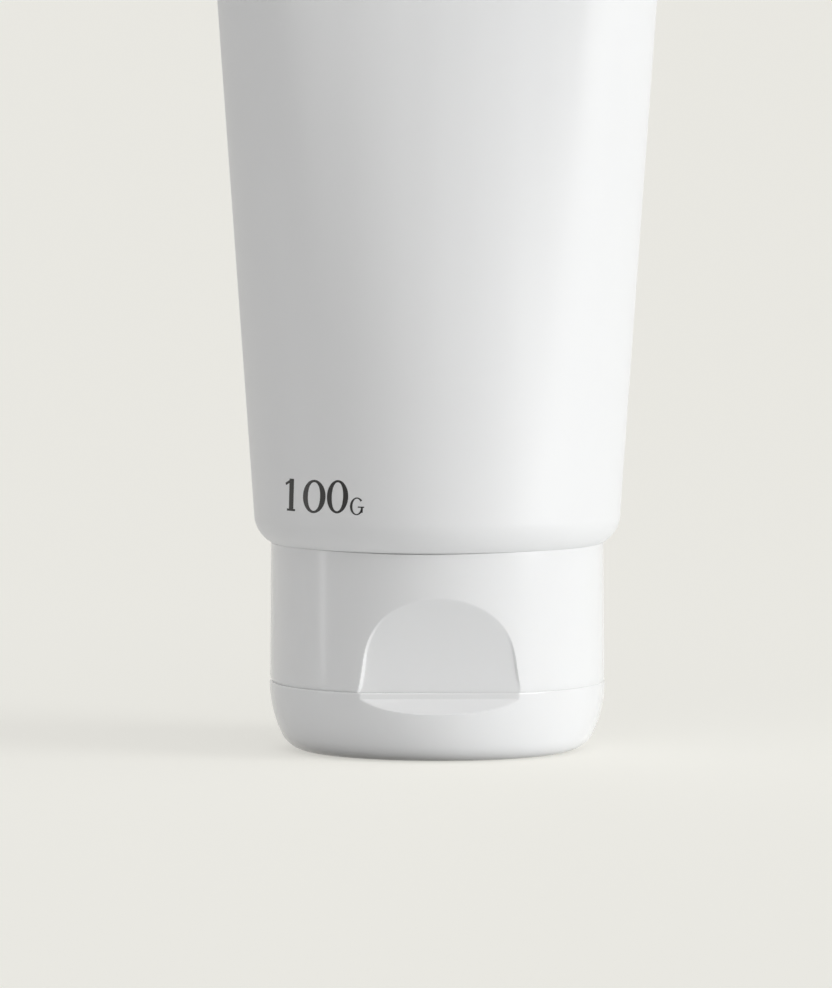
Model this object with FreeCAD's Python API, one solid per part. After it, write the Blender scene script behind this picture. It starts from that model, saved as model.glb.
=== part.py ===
"""Squeeze tube of facial cleanser, standing on its flip-top cap.

The frame: millimetres, +Z up, origin at the centre of the flat base that the tube
stands on. The crimped seal runs along X, the thumb recess faces -Y and the lid's
film hinge is at +Y. The tube is upside down, so its shoulder and neck point down
into the cap, and the lid is the lowest piece.
"""
import FreeCAD, Part
import math
import os

os.makedirs("parts", exist_ok=True)

# ---- Driving dimensions -------------------------------------------------------------
# The tube
overall_height = 180.0
sleeve_radius = 19.0
seal_band_height = 6.0
seal_thickness = 1.0
fullness = 0.6               # how far the filled sleeve's sides bulge, as a share of its radius
shoulder_corner_radius = 3.35
shoulder_angle = 22.0        # degrees, how far the shoulder's cone falls towards the neck
shoulder_wall = 1.3
head_edge_inset = 2.8        # from the sleeve's radius in to the head's welded edge
neck_radius = 8.2            # over the thread
neck_bore_radius = 4.0
neck_lip = 0.4               # bevel round the neck's mouth

# The cap: the body that screws onto the neck, and the lid that the tube stands on
lid_height = 7.15            # from the base to the middle of the parting line
cap_body_height = 14.3       # from the parting line up to the rim's outer edge
cap_inset = 1.74             # how far the cap's rim lies inside the sleeve
cap_draft = 0.09             # the body is this much wider at the parting line
lid_overhang = 0.05          # the lid's edge stands this much proud of the body
parting_gap = 0.12
rim_gap = 0.15               # between the cap's rim and the tube's shoulder
cap_wall = 1.2
rim_edge_radius = 0.35
edge_round_height = 0.65     # rounding of the body's edge along the parting line
edge_round_depth = 0.33

# Inside the cap body
deck_thickness = 1.3
thread_clearance = 0.25
collar_wall = 1.15
root_overlap = 0.2           # how far a collar, rib or plug reaches into the wall it grows from
collar_top_clearance = 1.4   # below the tube's shoulder
neck_seat_gap = 0.1
seal_plug_wall = 0.85
seal_plug_height = 1.5
seal_plug_clearance = 0.15
rib_count = 8
rib_thickness = 0.9
rib_height = 5.5
orifice_radius = 2.2
spout_wall = 1.2
spout_height = 1.7
spout_tip_bevel = 0.4
seat_ring_wall = 0.9
seat_ring_height = 0.8
seat_ring_clearance = 0.25
seat_ring_scoop_clearance = 0.5

# Thumb recess in the cap body, and the scoop under it in the lid's edge
recess_half_width = 8.2
recess_height = 9.6
recess_depth = 2.4
recess_squareness = 2.25     # exponent of the arch's outline, 2 is an ellipse
recess_cove_radius = 0.6
arch_steps = 24              # the arch's outline passes through this many points, and one more
scoop_depth = 2.1
scoop_drop = 2.15
scoop_radius = 4.6

# The lid
lid_side_radius = 12.7       # of the arc that the lid's side follows
lid_base_fillet = 3.0
lid_wall = 1.3
lid_plug_wall = 0.85
lid_plug_clearance = 0.15
lid_plug_reach = 1.9         # how far the plug goes into the spout
lid_plug_taper = 0.25
lid_plug_lead = 0.9          # height of the taper at the plug's end

# The film hinge between the body and the lid
hinge_half_width = 5.5
hinge_pad_height = 3.2
hinge_pad_face = 1.76        # the part of that height that is upright
hinge_pad_root = 0.3         # how far a pad reaches into the wall behind it
hinge_pad_step = 0.05        # the pads stand this much outside the lid's edge
hinge_gap = 1.2              # height of the film between the two pads
film_thickness = 0.3
film_recess = 0.1
film_side_clearance = 0.5
film_back_clearance = 0.15

# What the making of the shapes needs
outside_reach = 2.0          # a cutter starts this far outside the sleeve
same_place = 1e-4            # two places closer than this are one
on_surface = 0.01            # a point closer than this lies on a surface
probe_shares = (0.3, 0.7)    # how far along an edge its place is tested

# ---- Heights and radii that follow from them ----------------------------------------
parting_z = lid_height
body_bottom_z = parting_z + parting_gap / 2
lid_top_z = parting_z - parting_gap / 2
deck_inner_z = body_bottom_z + deck_thickness
cap_radius = sleeve_radius - cap_inset
body_base_radius = cap_radius + cap_draft
lid_edge_radius = body_base_radius + lid_overhang
rim_top_z = parting_z + cap_body_height

# The shoulder's corner is an arc about (corner_r, corner_z). It is placed so that the
# cap's rim lies rim_gap below it.
corner_r = sleeve_radius - shoulder_corner_radius
rim_reach = cap_radius - corner_r
corner_drop = math.sqrt(shoulder_corner_radius ** 2 - rim_reach ** 2)
corner_z = rim_top_z + rim_gap + corner_drop
cone_slope = math.tan(math.radians(shoulder_angle))
cone_start_r = corner_r + shoulder_corner_radius * math.sin(math.radians(shoulder_angle))
cone_start_z = corner_z - shoulder_corner_radius * math.cos(math.radians(shoulder_angle))
shoulder_drop = shoulder_wall / math.cos(math.radians(shoulder_angle))

head_edge_r = sleeve_radius - head_edge_inset
neck_end_z = deck_inner_z + neck_seat_gap
seal_start_z = overall_height - seal_band_height

collar_bore_radius = neck_radius + thread_clearance
collar_radius = collar_bore_radius + collar_wall
spout_radius = orifice_radius + spout_wall
spout_end_z = body_bottom_z - spout_height
hinge_y = lid_edge_radius + hinge_pad_step
film_outer_y = hinge_y - film_recess
film_inner_y = film_outer_y - film_thickness
pocket_y = film_inner_y - film_back_clearance
lid_inner_radius = lid_edge_radius - lid_wall


def cone_z(r):
    """Height of the shoulder's outer cone at radius r."""
    return cone_start_z - (cone_start_r - r) * cone_slope


# ---- Small helpers -------------------------------------------------------------------
def rz(r, z):
    """A point of a half section, in the plane y = 0."""
    return FreeCAD.Vector(r, 0, z)


def line(a, b):
    """A straight edge between two points of a half section, given as (r, z)."""
    return Part.makeLine(rz(*a), rz(*b))


def arc(a, through, b):
    """An arc between two points of a half section that passes through a third."""
    return Part.Arc(rz(*a), rz(*through), rz(*b)).toShape()


def arc_point(centre, radius, degrees):
    """Point (r, z) on a circle, with 0 degrees along +r and 90 along +z."""
    angle = math.radians(degrees)
    return (centre[0] + radius * math.cos(angle), centre[1] + radius * math.sin(angle))


def polyline(*points):
    """Straight edges that join the points in order."""
    return [line(a, b) for a, b in zip(points, points[1:])]


def revolve(edges):
    """The solid that a closed half section sweeps about the Z axis."""
    face = Part.Face(Part.Wire(edges))
    return face.revolve(FreeCAD.Vector(0, 0, 0), FreeCAD.Vector(0, 0, 1), 360)


def ring(inner_radius, outer_radius, low_z, high_z):
    """A plain ring about the Z axis."""
    outline = [(inner_radius, low_z), (outer_radius, low_z), (outer_radius, high_z), (inner_radius, high_z)]
    return revolve(polyline(*outline, outline[0]))


def box(low, high):
    """A box between two corners."""
    size = [b - a for a, b in zip(low, high)]
    return Part.makeBox(*size, FreeCAD.Vector(*low))


def prism_along_x(points, half_width):
    """A prism along X whose section is the outline of (y, z) points."""
    corners = [FreeCAD.Vector(-half_width, y, z) for y, z in points]
    face = Part.Face(Part.makePolygon(corners + corners[:1]))
    return face.extrude(FreeCAD.Vector(2 * half_width, 0, 0))


def rod_along_x(radius, y, z, half_width):
    """A round rod along X about the line through (y, z)."""
    start = FreeCAD.Vector(-half_width, y, z)
    return Part.makeCylinder(radius, 2 * half_width, start, FreeCAD.Vector(1, 0, 0))


def save(node, shape):
    """Write one piece as one clean solid."""
    solid = shape.removeSplitter()
    if len(solid.Solids) == 1:
        solid = solid.Solids[0]
    solid.exportStep("parts/" + node + ".step")
    size = solid.BoundBox
    print(node, "solids", len(solid.Solids), "valid", solid.isValid(), "volume", round(solid.Volume, 1),
          "size", round(size.XLength, 2), round(size.YLength, 2), round(size.ZLength, 2))


# ---- The sleeve's sections ------------------------------------------------------------
# The sleeve's film can't stretch, so every level has the same girth. A section is an
# oval of four arcs that meet in line: two ends, and two flatter sides.
girth = 2 * math.pi * sleeve_radius
seal_side_crown = 0.05 * seal_thickness
seal_end_radius = seal_thickness / 2 - seal_side_crown
section_levels = [0.0, 0.1, 0.25, 0.4, 0.55, 0.7, 0.85, 1.0]
nearly_round = 0.01          # the level whose arcs set where the round section is divided


def oval(half_width, end_radius, crown):
    """Radius of an oval's side arcs, and the angle at which an end arc meets a side.

    The side's middle stands out by crown more than the end's radius.
    """
    offset = half_width - end_radius
    side_radius = (offset ** 2 + crown ** 2 + 2 * end_radius * crown) / (2 * crown)
    meet = math.atan2(side_radius - end_radius - crown, offset)
    return side_radius, meet


def oval_girth(half_width, end_radius, crown):
    """Length of the oval's outline."""
    side_radius, meet = oval(half_width, end_radius, crown)
    return 4 * (end_radius * meet + side_radius * (math.pi / 2 - meet))


def solve(function, low, high):
    """The value between low and high at which a rising function is zero."""
    for _ in range(60):
        middle = (low + high) / 2
        if function(middle) < 0:
            low = middle
        else:
            high = middle
    return (low + high) / 2


seal_half_width = solve(lambda w: oval_girth(w, seal_end_radius, seal_side_crown) - girth,
                        sleeve_radius, 2 * sleeve_radius)


def section_sizes(t):
    """Half width, end radius, crown and meeting angle at t, from 0, round, to 1, flat.

    The half width grows evenly with t. The crown is largest a third of the way up,
    because the contents settle towards the cap.
    """
    crown = seal_side_crown * t + fullness * sleeve_radius * t * (1 - t) ** 2
    half_width = sleeve_radius + (seal_half_width - sleeve_radius) * t
    end_radius = solve(lambda r: oval_girth(half_width, r, crown) - girth, 0.1 * seal_thickness, sleeve_radius)
    return half_width, end_radius, crown, oval(half_width, end_radius, crown)[1]


def section_wire(t, z):
    """The closed outline of the sleeve at one level, as four arcs."""
    if t == 0:
        half_width, end_radius, crown = sleeve_radius, sleeve_radius, 0.0
        meet = section_sizes(nearly_round)[3]
    else:
        half_width, end_radius, crown, meet = section_sizes(t)
    corner_x = half_width - end_radius + end_radius * math.cos(meet)
    corner_y = end_radius * math.sin(meet)
    side_y = end_radius + crown
    low_right = FreeCAD.Vector(corner_x, -corner_y, z)
    high_right = FreeCAD.Vector(corner_x, corner_y, z)
    high_left = FreeCAD.Vector(-corner_x, corner_y, z)
    low_left = FreeCAD.Vector(-corner_x, -corner_y, z)
    edges = [Part.Arc(low_right, FreeCAD.Vector(half_width, 0, z), high_right),
             Part.Arc(high_right, FreeCAD.Vector(0, side_y, z), high_left),
             Part.Arc(high_left, FreeCAD.Vector(-half_width, 0, z), low_left),
             Part.Arc(low_left, FreeCAD.Vector(0, -side_y, z), low_right)]
    return Part.Wire([edge.toShape() for edge in edges])


# ---- The tube -------------------------------------------------------------------------
def tube_sleeve():
    """The filled sleeve as one solid, from its rounded shoulder to its crimped seal."""
    wires = []
    for t in section_levels:
        wires.append(section_wire(t, corner_z + t * (seal_start_z - corner_z)))
    wedge = Part.makeLoft(wires, True, False)
    band = Part.Face(wires[-1]).extrude(FreeCAD.Vector(0, 0, seal_band_height))
    edge_z = cone_z(head_edge_r)
    inner_z = cone_z(neck_bore_radius) + shoulder_drop
    corner_low = (cone_start_r, cone_start_z)
    corner_mid = arc_point((corner_r, corner_z), shoulder_corner_radius, (shoulder_angle - 90) / 2)
    corner_top = (sleeve_radius, corner_z)
    edges = polyline((0, corner_z), (0, inner_z), (neck_bore_radius, inner_z),
                     (head_edge_r, edge_z + shoulder_drop), (head_edge_r, edge_z), corner_low)
    edges.append(arc(corner_low, corner_mid, corner_top))
    edges.append(line(corner_top, (0, corner_z)))
    foot = revolve(edges)
    return foot.fuse(wedge).fuse(band)


def tube_head():
    """The moulded shoulder and neck that the sleeve is welded to."""
    edge_z = cone_z(head_edge_r)
    neck_base_z = cone_z(neck_radius)
    inner_z = cone_z(neck_bore_radius) + shoulder_drop
    outline = [(neck_bore_radius, neck_end_z), (neck_radius - neck_lip, neck_end_z),
               (neck_radius, neck_end_z + neck_lip), (neck_radius, neck_base_z), (head_edge_r, edge_z),
               (head_edge_r, edge_z + shoulder_drop), (neck_bore_radius, inner_z)]
    return revolve(polyline(*outline, outline[0]))


# ---- The thumb recess -----------------------------------------------------------------
def arch_wire(half_width, height, y):
    """Arch outline in the plane of the given y: a squared half ellipse on straight feet."""
    power = 2 / recess_squareness
    points = []
    for i in range(arch_steps + 1):
        angle = math.pi * i / arch_steps
        x = half_width * math.copysign(abs(math.cos(angle)) ** power, math.cos(angle))
        z = body_bottom_z + height * math.sin(angle) ** power
        points.append(FreeCAD.Vector(x, y, z))
    curve = Part.BSplineCurve()
    curve.interpolate(points)
    foot_z = body_bottom_z - recess_height / 2
    left = FreeCAD.Vector(-half_width, y, foot_z)
    right = FreeCAD.Vector(half_width, y, foot_z)
    feet = [Part.makeLine(points[-1], left), Part.makeLine(left, right), Part.makeLine(right, points[0])]
    return Part.Wire([curve.toShape()] + feet)


def recess_cutter(growth, cove):
    """What the thumb recess takes away, or that grown on all sides by a wall's thickness.

    Its floor is a long arc: upright at the parting line, and out at the wall at the top.
    """
    depth = recess_depth + growth
    height = recess_height + growth
    floor_radius = (height ** 2 + depth ** 2) / (2 * depth)
    floor_y = depth - body_base_radius
    front_y = -sleeve_radius - outside_reach
    half_width = recess_half_width + growth
    arch = Part.Face(arch_wire(half_width, height, front_y))
    block = arch.extrude(FreeCAD.Vector(0, floor_y - front_y + 1, 0))
    # The floor bulges towards the cap's axis: in front of it is a rod plus what lies below.
    rod = rod_along_x(floor_radius, floor_y - floor_radius, body_bottom_z, 2 * half_width)
    below = box((-2 * half_width, front_y - 1, body_bottom_z - recess_height),
                (2 * half_width, floor_y, body_bottom_z))
    cutter = block.common(rod.fuse(below))
    if cove:
        edges = [edge for edge in cutter.Edges if on_floor_side(edge, floor_radius, floor_y)]
        cutter = cutter.makeFillet(cove, edges)
    return cutter


def on_floor_side(edge, floor_radius, floor_y):
    """Whether an edge of the cutter runs along the curved floor's side."""
    for share in probe_shares:
        span = edge.LastParameter - edge.FirstParameter
        point = edge.valueAt(edge.FirstParameter + share * span)
        if point.z < body_bottom_z + on_surface:
            return False
        reach = math.hypot(point.y - (floor_y - floor_radius), point.z - body_bottom_z)
        if abs(reach - floor_radius) > on_surface:
            return False
    return True


# ---- The cap body ---------------------------------------------------------------------
def cap_body():
    """Skirt, deck, threaded collar, ribs and spout, moulded in one."""
    round_radius = (edge_round_height ** 2 + edge_round_depth ** 2) / (2 * edge_round_depth)
    round_top = (body_base_radius, body_bottom_z + edge_round_height)
    round_low = (body_base_radius - edge_round_depth, body_bottom_z)
    half_angle = math.degrees(math.asin(edge_round_height / round_radius)) / 2
    round_mid = arc_point((body_base_radius - round_radius, round_top[1]), round_radius, -half_angle)
    rim_outer = (cap_radius, rim_top_z)
    rim_inner_r = cap_radius - cap_wall
    rim_inner = (rim_inner_r, cone_z(rim_inner_r) - rim_gap)
    edges = polyline((0, body_bottom_z), round_low)
    edges.append(arc(round_low, round_mid, round_top))
    edges += polyline(round_top, rim_outer, rim_inner, (0, rim_inner[1]), (0, body_bottom_z))
    shell = revolve(edges)
    rim_edges = [edge for edge in shell.Edges if abs(edge.BoundBox.ZMax - rim_top_z) < same_place
                 and edge.BoundBox.ZLength < same_place]
    shell = shell.makeFillet(rim_edge_radius, rim_edges)
    shell = shell.fuse(hinge_pad(body_bottom_z, 1))

    hollow = Part.makeCylinder(rim_inner_r, rim_top_z, FreeCAD.Vector(0, 0, deck_inner_z))
    hollow = hollow.cut(recess_cutter(cap_wall, 0))
    body = shell.cut(hollow)

    collar_top_z = cone_z(collar_radius) - collar_top_clearance
    body = body.fuse(ring(collar_bore_radius, collar_radius, deck_inner_z - root_overlap, collar_top_z))
    body = body.fuse(ribs(rim_inner_r))
    plug_radius = neck_bore_radius - seal_plug_clearance
    body = body.fuse(ring(plug_radius - seal_plug_wall, plug_radius, deck_inner_z - root_overlap,
                          deck_inner_z + seal_plug_height))
    body = body.fuse(spout())
    body = body.fuse(seat_ring())
    body = body.cut(Part.makeCylinder(orifice_radius, lid_height + deck_inner_z))
    body = body.cut(recess_cutter(0, recess_cove_radius))
    return body.cut(hinge_pocket())


def ribs(reach):
    """Upright ribs on the deck that tie the collar to the skirt."""
    wheel = None
    for i in range(rib_count):
        middle = (collar_bore_radius + collar_radius) / 2
        rib = box((middle, -rib_thickness / 2, deck_inner_z - root_overlap),
                  (reach + root_overlap, rib_thickness / 2, deck_inner_z + rib_height))
        turn = (i + 0.5) * 360 / rib_count
        rib.rotate(FreeCAD.Vector(0, 0, 0), FreeCAD.Vector(0, 0, 1), turn)
        wheel = rib if wheel is None else wheel.fuse(rib)
    return wheel


def spout():
    """The short nozzle on the deck, solid until the orifice is cut."""
    root_z = body_bottom_z + root_overlap
    outline = [(0, root_z), (0, spout_end_z), (spout_radius - spout_tip_bevel, spout_end_z),
               (spout_radius, spout_end_z + spout_tip_bevel), (spout_radius, root_z)]
    return revolve(polyline(*outline, outline[0]))


def seat_ring():
    """The low ring on the deck that centres the lid, open where the lid is scooped."""
    outer = lid_inner_radius - seat_ring_clearance
    full = ring(outer - seat_ring_wall, outer, body_bottom_z - seat_ring_height,
                body_bottom_z + root_overlap)
    pad_inner_y = -lid_edge_radius + scoop_depth + lid_wall
    front = box((-sleeve_radius, -sleeve_radius, 0), (sleeve_radius, pad_inner_y + seat_ring_scoop_clearance, deck_inner_z))
    return full.cut(front)


# ---- The film hinge -------------------------------------------------------------------
def hinge_pad(edge_z, way):
    """A flat-backed pad on the body (way 1) or the lid (way -1), beside the film."""
    near_z = parting_z + way * hinge_gap / 2
    face_z = near_z + way * hinge_pad_face
    far_z = near_z + way * hinge_pad_height
    inner_y = lid_inner_radius - hinge_pad_root
    outline = [(inner_y, near_z), (hinge_y, near_z), (hinge_y, face_z), (lid_inner_radius, far_z),
               (inner_y, far_z)]
    return prism_along_x(outline, hinge_half_width)


def hinge_pocket():
    """The space between the two pads, which the film bridges."""
    return box((-hinge_half_width, pocket_y, parting_z - hinge_gap / 2),
               (hinge_half_width, sleeve_radius, parting_z + hinge_gap / 2))


def living_hinge():
    """The thin film that joins the two pads and bends as the lid opens."""
    half_width = hinge_half_width - film_side_clearance
    return box((-half_width, film_inner_y, parting_z - hinge_gap / 2),
               (half_width, film_outer_y, parting_z + hinge_gap / 2))


# ---- The lid --------------------------------------------------------------------------
def lid_section(inset, top_z):
    """Half section of the lid's outside, or of its hollow when inset by the wall.

    The side is an arc whose centre is level with the parting line, and a fillet
    carries it into the flat base.
    """
    side_centre = (lid_edge_radius - lid_side_radius, parting_z)
    side_radius = lid_side_radius - inset
    fillet = lid_base_fillet - inset
    fillet_z = inset + fillet
    reach = math.sqrt((side_radius - fillet) ** 2 - (parting_z - fillet_z) ** 2)
    fillet_centre = (side_centre[0] + reach, fillet_z)
    meet = math.degrees(math.atan2(fillet_z - parting_z, reach))
    top_drop = math.degrees(math.asin((top_z - parting_z) / side_radius))
    top = arc_point(side_centre, side_radius, top_drop)
    side_mid = arc_point(side_centre, side_radius, (top_drop + meet) / 2)
    joint = arc_point(side_centre, side_radius, meet)
    fillet_mid = arc_point(fillet_centre, fillet, (meet - 90) / 2)
    base = (fillet_centre[0], inset)
    edges = polyline((0, top_z), (0, inset), base)
    edges.append(arc(base, fillet_mid, joint))
    edges.append(arc(joint, side_mid, top))
    edges.append(line(top, (0, top_z)))
    return edges


def scoop(growth):
    """The rod-shaped scoop under the lid's front edge, or that grown by the wall."""
    chord = math.hypot(scoop_depth, scoop_drop)
    distance = math.sqrt(scoop_radius ** 2 - (chord / 2) ** 2)
    mid_y = -lid_edge_radius + scoop_depth / 2
    mid_z = parting_z - scoop_drop / 2
    y = mid_y - distance * scoop_drop / chord
    z = mid_z + distance * scoop_depth / chord
    return rod_along_x(scoop_radius + growth, y, z, sleeve_radius)


def flip_lid():
    """The cup-shaped lid with its plug, scooped at the front for the thumb."""
    shell = revolve(lid_section(0, lid_top_z))
    shell = shell.fuse(hinge_pad(lid_top_z, -1))
    hollow = revolve(lid_section(lid_wall, parting_z))
    hollow = hollow.cut(scoop(lid_wall))
    lid = shell.cut(hollow)
    plug_radius = orifice_radius - lid_plug_clearance
    plug_top_z = spout_end_z + lid_plug_reach
    plug_bore = plug_radius - lid_plug_wall
    root_z = lid_wall - root_overlap
    outline = [(plug_bore, root_z), (plug_radius, root_z), (plug_radius, plug_top_z - lid_plug_lead),
               (plug_radius - lid_plug_taper, plug_top_z), (plug_bore, plug_top_z)]
    lid = lid.fuse(revolve(polyline(*outline, outline[0])))
    lid = lid.cut(scoop(0))
    return lid.cut(hinge_pocket())


save("tube_sleeve", tube_sleeve())
save("tube_head", tube_head())
save("cap_body", cap_body())
save("living_hinge", living_hinge())
save("flip_lid", flip_lid())
print("crimp width", round(2 * seal_half_width, 2), "corner z", round(corner_z, 2),
      "neck from", round(neck_end_z, 2), "to", round(cone_z(neck_radius), 2))
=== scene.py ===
# %% [markdown]
# # Facial cleanser tube on its flip-top cap
# The object is a squeeze tube that stands upside down on its cap. Five moulded or welded
# pieces carry its look: the printed film sleeve with its crimped end, the moulded
# shoulder and neck, the screwed cap body, the film hinge and the flip lid. Each is
# worked out here as a surface, from the same sizes as the CAD, and stands for its node.
# Lengths are written in millimetres and turned into metres when a mesh is made.

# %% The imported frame
import math
import bpy
import numpy as np
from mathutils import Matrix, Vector


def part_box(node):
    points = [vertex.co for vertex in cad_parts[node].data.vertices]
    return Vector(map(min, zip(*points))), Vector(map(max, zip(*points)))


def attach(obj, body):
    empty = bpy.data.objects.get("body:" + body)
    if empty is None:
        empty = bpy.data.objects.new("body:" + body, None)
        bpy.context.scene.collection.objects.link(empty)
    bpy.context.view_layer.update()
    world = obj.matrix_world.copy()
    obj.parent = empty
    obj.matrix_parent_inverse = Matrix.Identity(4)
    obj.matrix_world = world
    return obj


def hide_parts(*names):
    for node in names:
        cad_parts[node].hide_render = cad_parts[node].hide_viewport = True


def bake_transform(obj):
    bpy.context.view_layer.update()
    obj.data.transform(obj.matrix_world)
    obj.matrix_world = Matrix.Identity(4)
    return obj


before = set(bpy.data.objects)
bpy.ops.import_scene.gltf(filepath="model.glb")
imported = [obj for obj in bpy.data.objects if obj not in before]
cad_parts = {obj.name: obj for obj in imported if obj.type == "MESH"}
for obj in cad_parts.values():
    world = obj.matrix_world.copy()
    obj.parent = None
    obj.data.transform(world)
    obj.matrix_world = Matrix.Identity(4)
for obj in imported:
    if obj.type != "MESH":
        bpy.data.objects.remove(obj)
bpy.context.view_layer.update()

MM = 0.001
scene = bpy.context.scene

# %% [markdown]
# ## The sizes that the pieces share
# Heights run up from the flat base. The cap's parting line is level with the film hinge,
# the shoulder's corner is placed from the cap's rim, and the sleeve flattens evenly from
# there to the crimp.

# %% Shared sizes
FRONT, BACK = -0.5 * math.pi, 0.5 * math.pi
SLEEVE_R, SEAL_Z = 19.0, 174.0
PARTING_Z, BODY_Z, LID_Z = 7.15, 7.153, 7.147
DECK_Z, RIM_Z = 8.51, 21.56
CAP_R, BODY_R, LID_R = 17.26, 17.35, 17.40
CORNER_R, CORNER_RZ = 3.35, (15.65, 24.538)
CONE_ANGLE = math.radians(22)
CONE_START = (CORNER_RZ[0] + CORNER_R * math.sin(CONE_ANGLE),
              CORNER_RZ[1] - CORNER_R * math.cos(CONE_ANGLE))
SHOULDER_WALL = 1.3
SHOULDER_DROP = SHOULDER_WALL / math.cos(CONE_ANGLE)
HEAD_R, NECK_R, BORE_R = 16.2, 8.2, 4.0


def cone_z(r):
    """Height of the shoulder's cone at radius r: it falls evenly from the corner towards the neck."""
    return CONE_START[1] - (CONE_START[0] - r) * math.tan(CONE_ANGLE)


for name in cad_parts:
    low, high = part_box(name)
    print(name, [round(v / MM, 2) for v in low], [round(v / MM, 2) for v in high])

# %% [markdown]
# ## Camera
# A long lens a metre away, looking slightly down on the front of the cap, so that upright
# lines stay all but parallel. The lower part of the tube fills the upright frame.

# %% Camera
VIEW_POINT, VIEW_DISTANCE = (-2.2, 0.0, 26.5), 957.0
VIEW_ELEVATION, VIEW_AZIMUTH = 3.9, -0.75
camera = bpy.data.objects.new("camera", bpy.data.cameras.new("camera"))
scene.collection.objects.link(camera)
rise, round_by = math.radians(VIEW_ELEVATION), math.radians(VIEW_AZIMUTH)
away = Vector((math.cos(rise) * math.sin(round_by), -math.cos(rise) * math.cos(round_by), math.sin(rise)))
camera.location = (Vector(VIEW_POINT) + away * VIEW_DISTANCE) * MM
camera.rotation_euler = (math.pi / 2 - rise, 0, round_by)
camera.data.lens = 336.0
camera.data.sensor_width = 36.0
camera.data.clip_end = 60
scene.camera = camera
scene.view_settings.view_transform = "Standard"
print("camera at", [round(v / MM, 1) for v in camera.location])

# %% [markdown]
# ## Colours and nodes
# Colours are written as sRGB hex values and turned into the linear light that the
# renderer works in. Every node of every material is added by one small function.

# %% Colours and nodes
def linear(hex_value):
    """The linear colour of an sRGB hex value, by the sRGB curve's two parts."""
    channels = np.array([int(hex_value[i:i + 2], 16) for i in (1, 3, 5)]) / 255
    low = channels / 12.92
    high = ((channels + 0.055) / 1.055) ** 2.4
    return tuple(np.where(channels <= 0.04045, low, high)) + (1.0,)


def add_node(tree, kind, settings=None, inputs=None):
    """A node with its settings and its inputs: an input is a value, or the socket that feeds it."""
    node = tree.nodes.new(kind)
    for key, value in (settings or {}).items():
        setattr(node, key, value)
    for key, value in (inputs or {}).items():
        if isinstance(value, bpy.types.NodeSocket):
            tree.links.new(value, node.inputs[key])
        else:
            node.inputs[key].default_value = value
    return node


def seen_or_mirrored(tree):
    """One on rays from the camera and on rays that a glossy or clear surface sends on, else nought."""
    path = add_node(tree, "ShaderNodeLightPath")
    mirrored = add_node(tree, "ShaderNodeMath", {"operation": "MAXIMUM"}, {
        0: path.outputs["Is Glossy Ray"], 1: path.outputs["Is Transmission Ray"]})
    return add_node(tree, "ShaderNodeMath", {"operation": "MAXIMUM"}, {
        0: path.outputs["Is Camera Ray"], 1: mirrored.outputs[0]}).outputs[0]


# %% [markdown]
# ## The room
# The room lights the object evenly from all sides. What the camera sees of it, and what
# a glossy surface mirrors, is the plain warm off-white of the background instead.

# %% Room
BACKGROUND = "#E9E8E2"
ROOM_LEVEL = 0.318
world = bpy.data.worlds.new("room")
scene.world = world
world.use_nodes = True
sky = world.node_tree
sky.nodes.clear()
room = add_node(sky, "ShaderNodeBackground", inputs={"Color": (1.0, 1.0, 1.0, 1.0), "Strength": ROOM_LEVEL})
seen = add_node(sky, "ShaderNodeBackground", inputs={"Color": linear(BACKGROUND), "Strength": 1.0})
choice = add_node(sky, "ShaderNodeMixShader", inputs={
    0: seen_or_mirrored(sky), 1: room.outputs[0], 2: seen.outputs[0]})
add_node(sky, "ShaderNodeOutputWorld", inputs={"Surface": choice.outputs[0]})
print("room level", ROOM_LEVEL, "background", BACKGROUND)

# %% [markdown]
# ## Lamps
# A broad soft key stands low on the right. A soft lamp overhead and a weak one on the
# left fill in, so the left of the tube is mid grey and its right is nearly white. The
# key is low, so its shadow on the floor stays faint. A slim strip on the left is seen
# in reflections only, and draws one thin upright streak on the polished cap.

# %% Lamps
def aim(lamp, place, at):
    """Put a lamp at a place, in millimetres, and turn it towards a point."""
    lamp.location = Vector(place) * MM
    lamp.rotation_euler = (Vector(at) - Vector(place)).to_track_quat("-Z", "Y").to_euler()


def place_on_sky(azimuth, elevation, distance):
    """A place seen from the object at an azimuth, 0 in front and 90 at the right, and an elevation."""
    a, e = math.radians(azimuth), math.radians(elevation)
    out = distance * math.cos(e)
    return (out * math.sin(a), -out * math.cos(a), distance * math.sin(e))


KEY_LEVEL, TOP_LEVEL, LEFT_LEVEL = 1.452, 0.66, 0.27
STRIP_POWER, STRIP_WIDTH, STRIP_HEIGHT = 0.0028, 8.0, 60.0
STRIP_PLACE, STRIP_AIM = (-98.5, -17.0, 31.0), (0, 0, 24)


def sun(name, level, spread, azimuth, elevation, colour=(1.0, 1.0, 1.0)):
    """A distant lamp: its level, how many degrees of the sky it fills, where it stands, and its colour."""
    lamp = bpy.data.objects.new(name, bpy.data.lights.new(name, "SUN"))
    lamp.data.energy = level
    lamp.data.angle = math.radians(spread)
    lamp.data.color = colour
    scene.collection.objects.link(lamp)
    aim(lamp, place_on_sky(azimuth, elevation, 1000), (0, 0, 0))


sun("key", KEY_LEVEL, 32, 67, 15, (0.993, 1.0, 1.0))
sun("top", TOP_LEVEL, 60, 20, 72)
sun("left", LEFT_LEVEL, 60, -95, 8)

strip = bpy.data.objects.new("strip", bpy.data.lights.new("strip", "AREA"))
strip.data.shape = "RECTANGLE"
strip.data.size = STRIP_WIDTH * MM
strip.data.size_y = STRIP_HEIGHT * MM
strip.data.energy = STRIP_POWER
scene.collection.objects.link(strip)
strip.visible_camera = False
strip.visible_diffuse = False
aim(strip, STRIP_PLACE, STRIP_AIM)

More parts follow.
